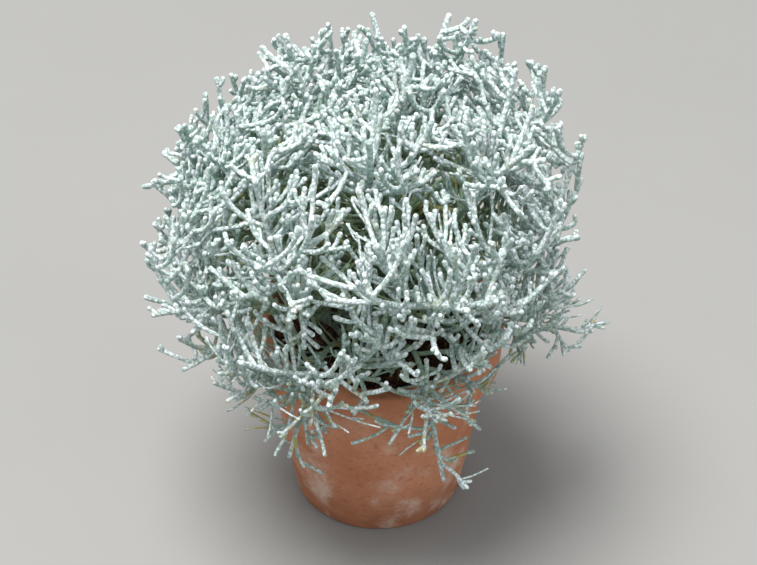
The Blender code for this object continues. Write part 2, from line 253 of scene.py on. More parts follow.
def cushion_point(polar, azimuth, beyond=0.0):
    """The point of the cushion's lumpy outline in a direction from its middle, higher on its right."""
    out, up = math.sin(polar), math.cos(polar)
    half = CUSHION_RISE if up > 0 else CUSHION_FALL
    power = CUSHION_SQUARENESS
    size = (abs(out / CUSHION_RADIUS) ** power + abs(up / half) ** power) ** (-1 / power)
    direction = out * outward(azimuth) + up * UP
    size *= 1 + CUSHION_LOBE * math.sin(3 * azimuth + 1) * math.sin(2 * polar + 0.5)
    size *= 1 + CUSHION_LUMP * noise.noise(Vector(direction) * CUSHION_LUMPS)
    offset = (size + beyond) * direction
    return MIDDLE + offset + CUSHION_SKEW * offset[0] * UP


def above_pot(point):
    """Whether a point is over the soil and the rim, or well outside the pot."""
    aside = math.hypot(point[0], point[1])
    if aside > RIM_RADIUS + CLEAR_OF_POT:
        return True
    over = POT_HEIGHT if aside > BODY_RADIUS - WALL - CLEAR_OF_POT else SOIL_LEVEL + SOIL_LUMP
    return point[2] > over + CLEAR_OF_POT


class Shoot:
    """One stem, branch or twig, along a smooth curve through the reach of its control points."""

    def __init__(self, stem, order, controls, radii, steps, buried=()):
        self.stem = stem
        self.order = order
        self.controls = controls
        self.radii = radii
        self.buried = buried
        self.path = self.drawn(steps)

    def drawn(self, steps):
        """The path in a number of steps, after the straight end that is buried in the soil, if any."""
        t = np.linspace(0.0, 1.0, steps + 1)[:, None]
        points = [np.tile(control, (steps + 1, 1)) for control in self.controls]
        while len(points) > 1:
            points = [first + (second - first) * t for first, second in zip(points, points[1:])]
        return np.vstack([*self.buried, points[0]])

    def radius_at(self, share):
        return self.radii[0] + (self.radii[1] - self.radii[0]) * share


def sampled(path):
    """Points along a path, with their direction and their distance from its start."""
    steps = np.diff(path, axis=0)
    lengths = np.linalg.norm(steps, axis=1)
    ends = np.concatenate([[0.0], np.cumsum(lengths)])
    along = np.linspace(0.0, ends[-1], max(2, int(ends[-1] / SAMPLE) + 1))
    part = np.clip(np.searchsorted(ends, along, side="right") - 1, 0, len(steps) - 1)
    share = (along - ends[part]) / lengths[part]
    return path[part] + steps[part] * share[:, None], steps[part] / lengths[part][:, None], along


class Thicket:
    """All the shoots so far, with points along them that a new shoot roots on or keeps clear of."""

    def __init__(self):
        self.shoots = []
        self.points = np.zeros((0, 3))
        self.headings = np.zeros((0, 3))
        self.facts = np.zeros((0, 5))

    def add(self, shoot):
        points, headings, along = sampled(shoot.path)
        facts = np.empty((len(along), 5))
        facts[:, 0] = shoot.stem
        facts[:, 1] = shoot.order
        facts[:, 2] = along
        facts[:, 3] = along[-1] - along
        facts[:, 4] = shoot.radius_at(along / along[-1])
        self.points = np.concatenate([self.points, points])
        self.headings = np.concatenate([self.headings, headings])
        self.facts = np.concatenate([self.facts, facts])
        self.shoots.append(shoot)

    def is_clear(self, shoot, of_own=CLEAR_OF_OWN, of_others=CLEAR_OF_OTHERS):
        """Whether a new shoot, but for its root, keeps clear of the others, the pot and the soil."""
        points, _, along = sampled(shoot.path)
        out = along > NEAR_ROOT
        points = points[out] if out.any() else points[-1:]
        if not all(above_pot(point) for point in points):
            return False
        reach = 6 * MM
        near = ((self.points > points.min(0) - reach) & (self.points < points.max(0) + reach)).all(1)
        near = np.flatnonzero(near)
        near = near[np.linalg.norm(self.points[near] - shoot.path[0], axis=1) > NEAR_ROOT]
        if not len(near):
            return True
        gaps = np.linalg.norm(points[:, None] - self.points[near][None], axis=2).min(0)
        spare = np.where(self.facts[near, 0] == shoot.stem, of_own, of_others)
        return bool((gaps > max(shoot.radii) + self.facts[near, 4] + spare).all())

    def hosts(self, target, rule):
        """Rows of the points where a shoot to the target could root, the best first."""
        span = target - self.points
        length = np.linalg.norm(span, axis=1) + 1e-9
        angle = np.arccos(np.clip((span * self.headings).sum(1) / length, -1, 1))
        least, best, greatest = np.radians(rule.angles)
        fits = (self.facts[:, 1] < rule.order) & (angle > least) & (angle < greatest)
        fits &= (self.facts[:, 2] > rule.bare_root) & (self.facts[:, 3] > rule.bare_tip)
        fits &= length < rule.longest
        found = np.flatnonzero(fits)
        rise = span[found, 2] / length[found]
        cost = length[found] * (1 + 3 * (angle[found] - best) ** 2) * (DROP_COST - rise)
        return found[np.argsort(cost, kind="stable")]


def stem_shoot(index, foot, tip, heading, pull):
    """A stem that leans in its hole in the soil, arches out and reaches its tip along a heading."""
    lean = unit(np.array([foot[0], foot[1], LEAN_DEPTH]))
    span = np.linalg.norm(tip - foot)
    controls = (foot, foot + lean * span * pull, tip - unit(heading) * span * 0.3, tip)
    return Shoot(index, 0, controls, STEM_RADII, STEM_STEPS, buried=(foot - lean * ROOTED_DEPTH,))


def side_shoot(stem, root, heading, target, rule):
    """A shoot that leaves its host at a wide angle, and bends towards the host's heading and upwards."""
    span = target - root
    forward = heading * (span @ heading)
    bent = BEND * (span - forward) + (1 - BEND) * forward
    sagging = span * np.array([0.85, 0.85, 0.15] if span[2] > 0 else [0.4, 0.4, 0.75])
    elbow = root + (1 - SAG) * bent + SAG * sagging
    steps = max(1, round(np.linalg.norm(span) / rule.step))
    return Shoot(stem, rule.order, (root, elbow, target), rule.radii, steps)


def spread(count, lowest, turn=0.0):
    """Directions spread evenly over the cushion, from its top down to a lowest angle."""
    for index in range(count):
        share = (index + 0.5) / count
        yield math.acos(1 - share * (1 - math.cos(lowest))), index * GOLDEN_ANGLE + turn


def grow_stems(thicket):
    """The main stems, each to its own part of the cushion, and the low sprigs that hang over the rim."""
    for index, (polar, azimuth) in enumerate(spread(STEMS, LOWEST_STEM)):
        out = outward(azimuth)
        foot = out * CROWN_RADIUS * math.sqrt((index + 0.5) / STEMS) + UP * SOIL_LEVEL
        tip = cushion_point(polar, azimuth, STEM_OVERSHOOT)
        heading = out * math.sin(polar) + UP * (math.cos(polar) + 0.45)
        thicket.add(stem_shoot(index, foot, tip, heading, 0.33))
    for index, (azimuth, reach, height) in enumerate(SPRIGS, STEMS):
        out = outward(azimuth)
        foot = out * SPRIG_FOOT + UP * SOIL_LEVEL
        tip = out * reach + UP * (SOIL_LEVEL + height)
        rise, pull = (0.3, 0.5) if height > 0 else (-1.2, 1.05)
        thicket.add(stem_shoot(index, foot, tip, out + UP * rise, pull))


def grow_to_outline(thicket, rng, rule):
    """Shoots with their tips spread evenly under the cushion's outline, each from its best host."""
    roots = np.full((1, 3), 1.0)
    scatter = 0.86 / math.sqrt(rule.count)
    for polar, azimuth in spread(rule.count, LOWEST_TIP, turn=rule.order * 0.7):
        polar += rng.uniform(-scatter, scatter)
        azimuth += rng.uniform(-scatter, scatter) / max(0.2, math.sin(polar))
        target = cushion_point(polar, azimuth, -rng.uniform(*rule.depth))
        tries = 0
        for row in thicket.hosts(target, rule):
            root = thicket.points[row]
            if np.linalg.norm(roots - root, axis=1).min() < ROOT_SPACING:
                continue
            tries += 1
            if tries > MOST_TRIES:
                break
            shoot = side_shoot(int(thicket.facts[row, 0]), root, thicket.headings[row], target, rule)
            if thicket.is_clear(shoot):
                thicket.add(shoot)
                roots = np.vstack([roots, root])
                break


def grow_aside(thicket, rng, hosts, places, rule):
    """Shoots that leave their hosts all round at a wide angle, wherever there is room for them."""
    shares, lengths = places
    for host in hosts:
        points, headings, along = sampled(host.path)
        turn = rng.uniform(0, 2 * math.pi)
        for share in shares:
            row = int(share * (len(along) - 1))
            turn += GOLDEN_ANGLE
            heading = Vector(headings[row])
            aside = Matrix.Rotation(turn, 3, heading) @ heading.orthogonal().normalized()
            target = points[row] + rng.uniform(*lengths) * np.array(heading * 0.66 + aside * 0.75)
            shoot = side_shoot(host.stem, points[row], headings[row], target, rule)
            if thicket.is_clear(shoot):
                thicket.add(shoot)


def grow_bush():
    """All the stems of the bush with their branches and twigs."""
    rng = random.Random(SEED)
    thicket = Thicket()
    grow_stems(thicket)
    stems = list(thicket.shoots)
    grow_to_outline(thicket, rng, BRANCHES)
    grow_aside(thicket, rng, stems[STEMS:], SPRIG_BRANCHES, BRANCHES)
    grow_aside(thicket, rng, stems[:STEMS], INNER_BRANCHES, BRANCHES)
    grow_to_outline(thicket, rng, TWIGS)
    sprigs = [shoot for shoot in thicket.shoots if shoot.stem >= STEMS and shoot.order < 2]
    grow_aside(thicket, rng, sprigs, SPRIG_TWIGS, TWIGS)
    return thicket


def tree_of(points):
    """A search tree of points."""
    tree = KDTree(len(points))
    for index, point in enumerate(points):
        tree.insert(point, index)
    tree.balance()
    return tree


def round_off(shoots):
    """Draws the shoots of the solid parts smoothly, each rooted on the middle of its smooth host."""
    drawn = {}
    for shoot in shoots:
        if shoot.order > 0:
            hosts = np.vstack([path for order, path in drawn[shoot.stem] if order < shoot.order])
            root = np.array(tree_of(hosts).find(shoot.controls[0])[0])
            shoot.controls = (root, *shoot.controls[1:])
        slimness = SPRIG_SLIMNESS if shoot.stem >= STEMS else 1.0
        shoot.radii = tuple(slimness * radius for radius in ROUND_RADII[shoot.order])
        length = np.linalg.norm(shoot.controls[-1] - shoot.controls[0])
        shoot.path = shoot.drawn(max(4, int(length / (2 * MM))))
        drawn.setdefault(shoot.stem, []).append((shoot.order, shoot.path))


def outline_share(point):
    """How far out a point lies, from 0 at the cushion's middle to 1 on its outline."""
    offset = point - MIDDLE
    offset[2] -= CUSHION_SKEW * offset[0]
    size = np.linalg.norm(offset)
    polar = math.acos(offset[2] / size)
    azimuth = math.atan2(offset[1], offset[0])
    outline = cushion_point(polar, azimuth) - MIDDLE
    outline[2] -= CUSHION_SKEW * outline[0]
    return size / np.linalg.norm(outline)


def height_share(point):
    """How high a point lies in the bush, from 0 at the soil to 1 at its top."""
    return min(1.0, max(0.0, (point[2] - SOIL_LEVEL) / (MIDDLE[2] + CUSHION_RISE - SOIL_LEVEL)))


def fine_shoot(host, point, heading, turn, length, angle, fine):
    """A small shoot that leaves its host at an angle, lifts itself a little and curves upwards."""
    axis = Vector(heading)
    aside = Matrix.Rotation(turn, 3, axis) @ axis.orthogonal().normalized()
    lift = LIFT * height_share(point) * UP
    span = unit(np.array(axis * math.cos(angle) + aside * math.sin(angle)) + lift)
    return side_shoot(host.stem, point, heading, point + length * span, fine)


def grows_well(shoot, highest):
    """Whether a small shoot stays above the pot and inside the cushion, or grows on a sprig."""
    if not all(above_pot(point) for point in shoot.path[1:]):
        return False
    if shoot.stem >= STEMS:
        return math.hypot(shoot.path[-1][0], shoot.path[-1][1]) < SPRIG_REACH
    return outline_share(shoot.path[-1]) < highest


def stickout(shoot):
    """How much a shoot points out of the cushion or into it, less for one that rises high up."""
    root = shoot.path[0]
    span = unit(shoot.path[-1] - root)
    return abs(span @ unit(root - MIDDLE)) - RISE_BONUS * height_share(root) * span[2]


def bareness(host, point):
    """How likely a place on a host stays bare: low in the bush and on the sprigs more than elsewhere."""
    low = LOW_BARENESS * min(1.0, max(0.0, (BARE_BELOW - point[2]) / (BARE_BELOW - SOIL_LEVEL)))
    return max(low, SPRIG_BARENESS) if host.stem >= STEMS else low


def proposed(host, rng, fine):
    """The places along a host where a small shoot could leave it, each with a few shoots to try."""
    points, headings, along = sampled(host.path)
    start, end = (share * along[-1] for share in fine.hosts[host.order])
    place = start + rng.uniform(0, fine.spacing)
    while place < end:
        row = int(np.searchsorted(along, place))
        first = rng.uniform(0, 2 * math.pi)
        length = min(rng.uniform(*fine.lengths), along[-1] - place + fine.lengths[0] * PAST_HOST)
        angle = math.radians(rng.uniform(*fine.angles)) * (1 - NARROWING * host.order)
        highest = rng.uniform(*fine.highest)
        tries = []
        for shortened, ways in TRIES:
            turns = [first + 2 * math.pi * way / ways for way in range(ways)]
            shoots = [
                fine_shoot(host, points[row], headings[row], turn, length * shortened, angle, fine)
                for turn in turns
            ]
            shoots.sort(key=lambda shoot: stickout(shoot) + rng.uniform(0, CHANCE))
            tries += [shoot for shoot in shoots if grows_well(shoot, highest)]
        if tries and rng.random() >= bareness(host, points[row]):
            yield tries
        place += fine.spacing * rng.uniform(*UNEVEN_SPACING)


def grow_fine(shoots, rng, fine):
    """Small shoots all round their hosts, from each place the first that keeps clear of the rest."""
    hosts = [shoot for shoot in shoots if shoot.order in fine.hosts]
    places = [tries for host in hosts for tries in proposed(host, rng, fine)]
    rng.shuffle(places)
    everyone = shoots + [shoot for tries in places for shoot in tries]
    lines = [sampled(shoot.path) for shoot in everyone]
    owners = np.repeat(np.arange(len(lines)), [len(along) for _, _, along in lines])
    radii = np.array([max(shoot.radii) for shoot in everyone])
    tree = tree_of(np.vstack([points for points, _, _ in lines]))
    kept = np.zeros(len(everyone), bool)
    kept[:len(shoots)] = True
    index = len(shoots)
    grown = []
    for tries in places:
        taken = False
        for shoot in tries:
            if not taken and is_free(index, lines[index], tree, owners, radii, kept, fine):
                taken = kept[index] = True
                grown.append(shoot)
            index += 1
    return grown


def is_free(index, line, tree, owners, radii, kept, fine):
    """Whether a shoot, but for its root, keeps clear of all the shoots that are kept so far."""
    points, _, along = line
    root = Vector(points[0])
    out = along > fine.near
    for point in points[out] if out.any() else points[-1:]:
        for spot, row, distance in tree.find_range(point, radii[index] + WIDEST_SHOOT + fine.spare):
            other = owners[row]
            if not kept[other] or distance > radii[index] + radii[other] + fine.spare:
                continue
            if (spot - root).length > fine.near + ROOT_SPARE:
                return False
    return True


def kinked(points):
    """Points moved a little by a smooth noise, so that all shoots that meet there move together."""
    moved = np.empty_like(points)
    for index, point in enumerate(points):
        place = Vector(point)
        kink = noise.noise_vector(place / KINK_WIDTH) * KINK
        wobble = noise.noise_vector(place / WOBBLE_WIDTH) * WOBBLE
        moved[index] = place + (kink + wobble)
    return moved


def rings(shoot, rng, settings):
    """The points and half thicknesses of a round shoot, knuckled towards its blunt tip."""
    steps = np.linalg.norm(np.diff(shoot.path, axis=0), axis=1)
    ends = np.concatenate([[0.0], np.cumsum(steps)])
    length, tip = ends[-1], shoot.radii[1] * settings.thickness
    cap = BLUNTNESS * tip
    count = max(2, round((length - cap) / RING_SPACING[shoot.order]))
    along = np.linspace(0.0, length - cap, count + 1)
    radii = shoot.radius_at(along / length) * settings.thickness
    young = np.interp(np.interp(along, ends, shoot.path[:, 2]), *YOUNG_HEIGHTS)
    in_and_out = (-1.0) ** (np.arange(count + 1) + 1.0 - count)
    towards_tip = ROOT_KNUCKLE + (1 - ROOT_KNUCKLE) * along / length
    knuckles = settings.knuckles * young * towards_tip * in_and_out
    radii *= 1 + knuckles + [rng.uniform(-UNEVENNESS, UNEVENNESS) for _ in along]
    slimness = LOW_SLIMNESS + (1 - LOW_SLIMNESS) * young
    radii *= slimness
    tip *= slimness[-1]
    radii[-1] = tip
    for angle in map(math.radians, TIP_ANGLES):
        along = np.append(along, length - cap * (1 - math.sin(angle)))
        radii = np.append(radii, tip * math.cos(angle))
    points = np.stack([np.interp(along, ends, shoot.path[:, axis]) for axis in range(3)], axis=1)
    return kinked(points), radii


def new_object(name, mesh):
    obj = bpy.data.objects.new(name, mesh)
    bpy.context.scene.collection.objects.link(obj)
    return obj


def aim_at(obj, spot, target):
    """Puts a light or the camera at a spot, looking at a target."""
    obj.location = spot
    obj.rotation_mode = "QUATERNION"
    obj.rotation_quaternion = (target - spot).to_track_quat("-Z", "Y")


def mesh_from(bm, name, smooth=True):
    """A mesh from a finished bmesh, its doubles merged and its faces turned outwards."""
    bmesh.ops.remove_doubles(bm, verts=bm.verts, dist=DOUBLES)
    bmesh.ops.recalc_face_normals(bm, faces=bm.faces)
    mesh = bpy.data.meshes.new(name)
    bm.to_mesh(mesh)
    bm.free()
    mesh.polygons.foreach_set("use_smooth", [smooth] * len(mesh.polygons))
    return mesh


def add_tubes(bm, lines, resolution):
    """Round tubes with closed ends, each along its own points with its own radii."""
    curve = bpy.data.curves.new("tubes", "CURVE")
    curve.dimensions = "3D"
    curve.bevel_depth = MM
    curve.bevel_resolution = resolution
    curve.use_fill_caps = True
    for points, radii in lines:
        spline = curve.splines.new("POLY")
        spline.points.add(len(points) - 1)
        spline.points.foreach_set("co", np.column_stack([points, np.ones(len(points))]).ravel())
        spline.points.foreach_set("radius", radii / MM)
    tubes = new_object("tubes", curve)
    depsgraph = bpy.context.evaluated_depsgraph_get()
    mesh = bpy.data.meshes.new_from_object(tubes.evaluated_get(depsgraph), depsgraph=depsgraph)
    bpy.data.objects.remove(tubes)
    bpy.data.curves.remove(curve)
    bm.from_mesh(mesh)
    bpy.data.meshes.remove(mesh)


def finish_piece(mesh, material, slot, *nodes):
    """A piece of a mesh with its material, its place on the pot's body and the nodes it stands for."""
    obj = new_object(mesh.name, mesh)
    mesh.materials.append(material)
    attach(obj, "root")
    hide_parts(*nodes)


def turned(profile, segments, closed):
    """An outline of (radius, height) points spun about the Z axis, which it meets if it isn't closed."""
    bm = bmesh.new()
    verts = [bm.verts.new((radius, 0.0, height)) for radius, height in profile]
    ends = verts[1:] + verts[:1] if closed else verts[1:]
    edges = [bm.edges.new(pair) for pair in zip(verts, ends)]
    bmesh.ops.spin(
        bm, geom=verts + edges, axis=(0, 0, 1), cent=(0, 0, 0), steps=segments,
        angle=2 * math.pi, use_merge=True,
    )
    bmesh.ops.remove_doubles(bm, verts=bm.verts, dist=DOUBLES)
    return bm


def rounded(centre, radius, first, last, steps=5):
    """Points on a rounded edge, between two angles in degrees."""
    for step in range(steps + 1):
        angle = math.radians(first + (last - first) * step / steps)
        yield centre[0] + radius * math.cos(angle), centre[1] + radius * math.sin(angle)


def straight(start, end, steps):
    """Points along a straight stretch, without its last one."""
    for step in range(steps):
        share = step / steps
        yield start[0] + (end[0] - start[0]) * share, start[1] + (end[1] - start[1]) * share


def body_radius(height):
    """The outer radius of the pot's tapered body at a height."""
    return FOOT_RADIUS + (BODY_RADIUS - FOOT_RADIUS) * height / POT_HEIGHT


def soil_lift(x, y):
    """How far the soil's lumpy surface stands over its level, from noise."""
    return SOIL_LUMP * noise.fractal(Vector((x, y, 0.0)) / SOIL_LUMP_WIDTH, 0.6, 2.0, 3)


def soil_height(x, y, grain=0.0):
    """The height of the soil's surface, with its lumps and, if asked for, its crumbly grain."""
    edge = body_radius(SOIL_LEVEL - SOIL_EDGE_DROP) - WALL - SOIL_GAP
    aside = min(1.0, math.hypot(x, y) / edge)
    place = Vector((x, y, 0.0))
    crumbs = noise.fractal(place / GRAIN_WIDTH, 0.7, 2.1, 4) - 0.35 * noise.voronoi(place / PIT_WIDTH)[0][0]
    fade = 1 - aside**8
    return SOIL_LEVEL - SOIL_EDGE_DROP * aside**3 + (soil_lift(x, y) + grain * crumbs) * fade


def add_node(tree, kind, inputs=None, **settings):
    """A shader node with its settings, and each of its inputs linked or set."""
    node = tree.nodes.new(kind)
    for name, value in settings.items():
        setattr(node, name, value)
    for key, value in (inputs or {}).items():
        if isinstance(value, bpy.types.NodeSocket):
            tree.links.new(value, node.inputs[key])
        else:
            node.inputs[key].default_value = value
    return node


def mixed(tree, share, first, second, blend="MIX"):
    """The colour output of a Mix node between two colours."""
    node = add_node(tree, "ShaderNodeMix", data_type="RGBA", blend_type=blend)
    for index, value in ((0, share), (6, first), (7, second)):
        if isinstance(value, bpy.types.NodeSocket):
            tree.links.new(value, node.inputs[index])
        else:
            node.inputs[index].default_value = value if index == 0 else (*value, 1.0)
    return node.outputs[2]


def ramped(tree, value, low, high, to_low=0.0, to_high=1.0):
    """A value taken smoothly from one range to another."""
    node = add_node(
        tree, "ShaderNodeMapRange",
        {"Value": value, "From Min": low, "From Max": high, "To Min": to_low, "To Max": to_high},
        interpolation_type="SMOOTHSTEP",
    )
    return node.outputs[0]


def computed(tree, operation, first, second=0.0):
    """The result of a Math node."""
    return add_node(tree, "ShaderNodeMath", {0: first, 1: second}, operation=operation).outputs[0]


def product(tree, first, second):
    """The product of two values."""
    return computed(tree, "MULTIPLY", first, second)


def upward(tree, vector):
    """How far a vector goes upwards."""
    return add_node(tree, "ShaderNodeSeparateXYZ", {0: vector}).outputs["Z"]


def new_group(name, inputs, outputs):
    """An empty shader node group, with its input and output nodes."""
    tree = bpy.data.node_groups.new(name, "ShaderNodeTree")
    for socket, kind, default in inputs:
        made = tree.interface.new_socket(socket, in_out="INPUT", socket_type=f"NodeSocket{kind}")
        if default is not None:
            made.default_value = default
    for socket, kind in outputs:
        tree.interface.new_socket(socket, in_out="OUTPUT", socket_type=f"NodeSocket{kind}")
    return tree, tree.nodes.new("NodeGroupInput"), tree.nodes.new("NodeGroupOutput")


def patches_group():
    """Soft-edged patches of noise, for stains, bleached spots and mottling."""
    name = "Patches"
    if name in bpy.data.node_groups:
        return bpy.data.node_groups[name]
    tree, given, result = new_group(
        name,
        (
            ("Vector", "Vector", None), ("Scale", "Float", 50.0), ("From", "Float", 0.45),
            ("To", "Float", 0.6),
        ),
        (("Mask", "Float"),),
    )
    cloud = add_node(tree, "ShaderNodeTexNoise", {
        "Vector": given.outputs["Vector"], "Scale": given.outputs["Scale"], "Detail": 5.0,
        "Roughness": 0.62,
    })
    mask = ramped(tree, cloud.outputs[0], given.outputs["From"], given.outputs["To"])
    tree.links.new(mask, result.inputs["Mask"])
    return tree


def grain_group():
    """The height of a fine grain: rounded cells with finer noise over them."""
    name = "Grain"
    if name in bpy.data.node_groups:
        return bpy.data.node_groups[name]
    tree, given, result = new_group(
        name,
        (
            ("Vector", "Vector", None), ("Cells", "Float", 500.0), ("Fineness", "Float", 2000.0),
            ("Share", "Float", 0.5),
        ),
        (("Height", "Float"), ("Crevices", "Float")),
    )
    cells = add_node(tree, "ShaderNodeTexVoronoi", {
        "Vector": given.outputs["Vector"], "Scale": given.outputs["Cells"], "Smoothness": 0.3,
    }, feature="SMOOTH_F1")
    specks = add_node(tree, "ShaderNodeTexNoise", {
        "Vector": given.outputs["Vector"], "Scale": given.outputs["Fineness"], "Detail": 3.0,
    })
    domes = computed(tree, "SUBTRACT", 1.0, cells.outputs["Distance"])
    height = add_node(tree, "ShaderNodeMix", {
        "Factor": given.outputs["Share"], "A": domes, "B": specks.outputs[0],
    })
    tree.links.new(height.outputs[0], result.inputs["Height"])
    tree.links.new(ramped(tree, cells.outputs["Distance"], 0.4, 0.66), result.inputs["Crevices"])
    return tree


def patches(tree, place, scale, start, end):
    """The mask of the group of patches, with its own values."""
    inputs = {"Vector": place, "Scale": scale, "From": start, "To": end}
    return add_node(tree, "ShaderNodeGroup", inputs, node_tree=patches_group()).outputs["Mask"]


def grain(tree, place, cells, fineness, share):
    """The height and the crevices of the group of grain, with its own values."""
    inputs = {"Vector": place, "Cells": cells, "Fineness": fineness, "Share": share}
    node = add_node(tree, "ShaderNodeGroup", inputs, node_tree=grain_group())
    return node.outputs["Height"], node.outputs["Crevices"]


def stained(tree, place, colour, stain, scale, start, end, share=1.0):
    """A colour with patches of another one, as strong as their share says."""
    mask = product(tree, patches(tree, place, scale, start, end), share)
    return mixed(tree, mask, colour, stain)


def new_material(name, roughness, **fixed):
    """A material with its nodes, its coordinates and the values that are the same all over."""
    made = bpy.data.materials.new(name)
    made.use_nodes = True
    shader = made.node_tree.nodes["Principled BSDF"]
    shader.inputs["Roughness"].default_value = roughness
    shader.inputs["Metallic"].default_value = 0.0
    for key, value in fixed.items():
        shader.inputs[key.replace("_", " ")].default_value = value
    place = add_node(made.node_tree, "ShaderNodeTexCoord").outputs["Object"]
    return made, made.node_tree, place


def finished(made, height=None, depth=0.0, strength=1.0, **changing):
    """A material with its relief, if it has one, and the values that change over its surface."""
    tree = made.node_tree
    inputs = tree.nodes["Principled BSDF"].inputs
    for key, value in changing.items():
        tree.links.new(value, inputs[key.replace("_", " ")])
    if height is not None:
        relief = {"Height": height, "Distance": depth, "Strength": strength}
        tree.links.new(add_node(tree, "ShaderNodeBump", relief).outputs["Normal"], inputs["Normal"])
    return made


def felt_material(settings):
    """White felt over green twigs: pale outside, green inside, olive and withered at the foot, with painted
    light on up-facing faces and painted shade inside, underneath and near the crown.
    """
    made, tree, place = new_material(
        "felted twig", 0.88, Sheen_Weight=0.15, Sheen_Roughness=0.5, Specular_IOR_Level=0.25
    )
    centred = add_node(tree, "ShaderNodeMapping", {
        "Vector": place, "Location": MIDDLE - 7 * MM * UP,
        "Scale": (CUSHION_RADIUS, CUSHION_RADIUS, CUSHION_RISE),
    }, vector_type="TEXTURE").outputs[0]
    out = add_node(tree, "ShaderNodeVectorMath", {0: centred}, operation="LENGTH").outputs["Value"]
    from_foot = add_node(
        tree, "ShaderNodeVectorMath", {0: place, 1: (0.0, 0.0, SOIL_LEVEL)}, operation="DISTANCE"
    ).outputs["Value"]
    young = ramped(tree, from_foot, 30 * MM, 108 * MM)
    # Partly painted shade: the outside is white felt, and the inside is darker and greener, both for the
    # real green of older twigs and as painted shade deep in the bush.
    bleached_and_lit = product(tree, ramped(tree, out, 0.52, 1.0), young)
    # Painted light: faces that point up get the white felt and faces that point down keep the shade colour,
    # as if lit from above.
    normal = add_node(tree, "ShaderNodeNewGeometry").outputs["Normal"]
    topside = ramped(tree, upward(tree, normal), -0.65, 0.6, 0.0, 1.0)

    colour = mixed(tree, young, settings.old_colour, settings.inner_green_and_shade_colour)
    # Painted shade: mid-depth twigs take the shade colour.
    colour = mixed(tree, ramped(tree, bleached_and_lit, 0.0, 0.75), colour, settings.shade_colour)
    painted_toplight = ramped(tree, topside, 0.0, 1.0, 0.15, 1.0)
    toplit_white = product(tree, ramped(tree, bleached_and_lit, 0.2, 0.9), painted_toplight)
    colour = mixed(tree, toplit_white, colour, settings.felt_colour)
    colour = stained(tree, place, colour, settings.shade_colour, 130.0, 0.5, 0.68, 0.35)
    colour = stained(tree, place, colour, settings.cloud_colour, 85.0, 0.45, 0.6, toplit_white)
    height, crevices = grain(tree, place, 640.0, 3600.0, 0.4)
    creased = ramped(tree, bleached_and_lit, 0.1, 0.6, 0.25, 0.7)
    colour = mixed(tree, product(tree, crevices, creased), colour, settings.crevice_and_foot_shade_colour)
    dull = ramped(tree, bleached_and_lit, 0.9, 0.2, 0.15, 0.8)
    colour = stained(tree, place, colour, settings.spot_colour, 75.0, 0.58, 0.64, dull)
    # Painted shade: twigs low in the bush near the crown are darkened towards the crevice colour, as if in
    # the shade under the cushion.
    low = ramped(tree, upward(tree, place), SOIL_LEVEL + 62 * MM, SOIL_LEVEL + 5 * MM)
    shaded = product(tree, low, ramped(tree, young, 0.0, 0.9, 0.9, 0.1))
    colour = mixed(tree, shaded, colour, settings.crevice_and_foot_shade_colour)
    withered = product(tree, low, 0.85)
    colour = stained(tree, place, colour, settings.spot_colour, 95.0, 0.56, 0.61, withered)
    return finished(made, height, 0.9 * MM, Base_Color=colour)


def clay_material(settings):
    """Fired clay with mottling, faint turning marks, a lime bloom and a damp, darker foot."""
    made, tree, place = new_material("fired clay", 0.82, Specular_IOR_Level=0.3)
    colour = stained(tree, place, settings.clay_colour, settings.pale_colour, 26.0, 0.35, 0.68)
    colour = stained(tree, place, colour, settings.dark_colour, 420.0, 0.52, 0.66, 0.4)
    height_up = upward(tree, place)
    damp = ramped(tree, height_up, 30 * MM, 2 * MM, 0.0, 0.55)
    colour = stained(tree, place, colour, settings.dark_colour, 38.0, 0.3, 0.55, damp)
    low = ramped(tree, height_up, 84 * MM, 34 * MM, 0.25, 1.0)
    bloom = product(tree, patches(tree, place, 47.0, 0.5, 0.72), low)
    colour = mixed(tree, product(tree, bloom, 0.6), colour, settings.bloom_colour)
    height, _ = grain(tree, place, 900.0, 2600.0, 0.6)
    flattened = add_node(tree, "ShaderNodeMapping", {"Vector": place, "Scale": (8.0, 8.0, 620.0)})
    turning = {"Vector": flattened.outputs[0], "Scale": 1.0, "Detail": 2.0}
    marks = product(tree, add_node(tree, "ShaderNodeTexNoise", turning).outputs[0], 0.9)
    relief = computed(tree, "ADD", product(tree, height, 0.35), marks)
    rough = ramped(tree, bloom, 0.0, 1.0, 0.78, 0.95)
    return finished(made, relief, 0.35 * MM, 0.8, Base_Color=colour, Roughness=rough)


def soil_material(name, settings):
    """Dark, crumbly potting soil, with redder and drier crumbs."""
    made, tree, place = new_material(name, 0.95, Specular_IOR_Level=0.2)
    colour = stained(tree, place, settings.soil_colour, settings.red_colour, 120.0, 0.42, 0.62)
    colour = stained(tree, place, colour, settings.dry_colour, 420.0, 0.55, 0.68, 0.8)
    height, crevices = grain(tree, place, 620.0, 2400.0, 0.4)
    # Painted shade: the hollows between the crumbs are darkened almost to black.
    colour = mixed(tree, product(tree, crevices, 0.7), colour, settings.hollow_shade_colour)
    return finished(made, height, 0.9 * MM, Base_Color=colour)


def root_material(settings):
    """Dry, straw-coloured roots."""
    made, tree, place = new_material("dry root", 0.8, Specular_IOR_Level=0.3)
    colour = stained(tree, place, settings.root_colour, settings.red_colour, 300.0, 0.4, 0.62)
    height, _ = grain(tree, place, 1500.0, 4000.0, 0.5)
    return finished(made, height, 0.15 * MM, Base_Color=colour)


def floor_material(settings):
    """The plain floor, with clouds so faint that they only break up its flatness."""
    made, tree, place = new_material("plain floor", 0.9, Specular_IOR_Level=0.15)
    cloud = [channel * 0.97 for channel in settings.floor_colour]
    colour = stained(tree, place, settings.floor_colour, cloud, 3.0, 0.3, 0.7)
    return finished(made, Base_Color=colour)


